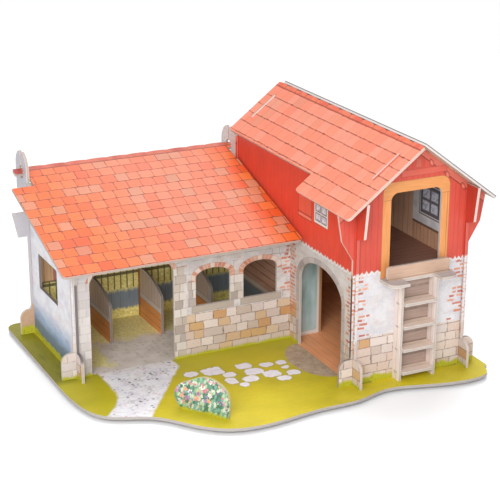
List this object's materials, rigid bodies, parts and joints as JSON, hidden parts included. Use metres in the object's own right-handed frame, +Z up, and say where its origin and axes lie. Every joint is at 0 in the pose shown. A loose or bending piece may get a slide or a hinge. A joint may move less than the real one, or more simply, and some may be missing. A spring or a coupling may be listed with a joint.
{
  "type": "toy barn",
  "caption": "Slot-together toy barn of printed card with a low stable wing, an opening wing roof, lift-off barn roof, loft, ladder and stalls on a wavy base.",
  "frame": {"origin": "under the middle of the whole toy's bounding box, on the surface it stands on", "axes": "+X to the right along the front gable, with the stable wing at -X; +Y from the front to the back; +Z up"},
  "size_m": [0.424, 0.3558, 0.259],
  "materials": {
    "grass_card": "matt printed card",
    "stone_card": "matt printed card",
    "red_card": "matt printed card",
    "roof_card": "matt printed card",
    "boards_card": "matt printed card",
    "wood_card": "matt printed card",
    "plank_card": "matt printed card",
    "flower_print": "matt printed card"
  },
  "bodies": {
    "house": {"base_board": "grass_card", "barn_front_gable": "red_card", "barn_back_gable": "red_card", "barn_left_wall": "red_card", "barn_right_wall": "red_card", "loft_floor": "boards_card", "landing_guard": "wood_card", "ladder_stringer_left": "wood_card", "ladder_stringer_right": "wood_card", "ladder_tread_1": "wood_card", "ladder_tread_2": "wood_card", "ladder_tread_3": "wood_card", "ladder_tread_4": "wood_card", "wing_front_wall": "stone_card", "wing_back_wall": "stone_card", "wing_left_gable": "stone_card", "stall_partition_1": "plank_card", "stall_partition_2": "plank_card", "stall_partition_3": "plank_card"},
    "wing_lid": {"wing_roof_lid": "roof_card"},
    "left_slope": {"barn_roof_left": "roof_card"},
    "right_slope": {"barn_roof_right": "roof_card"},
    "flowers": {"flower_card": "flower_print"}
  },
  "joints": [
    {"name": "wing_roof_hinge", "type": "hinge", "parent": "house", "child": "wing_lid", "pos_m": [-0.063, 0.15944, 0.18659], "axis": [-1, 0, 0], "range_deg": [0, 115]},
    {"name": "left_slope_lift", "type": "slide", "parent": "house", "child": "left_slope", "axis": [-0.6018, 0, 0.7986], "range_m": [0, 0.05]},
    {"name": "right_slope_lift", "type": "slide", "parent": "house", "child": "right_slope", "axis": [0.6018, 0, 0.7986], "range_m": [0, 0.05]},
    {"name": "flower_lift", "type": "slide", "parent": "house", "child": "flowers", "axis": [0, 0, 1], "range_m": [0, 0.03]}
  ]
}
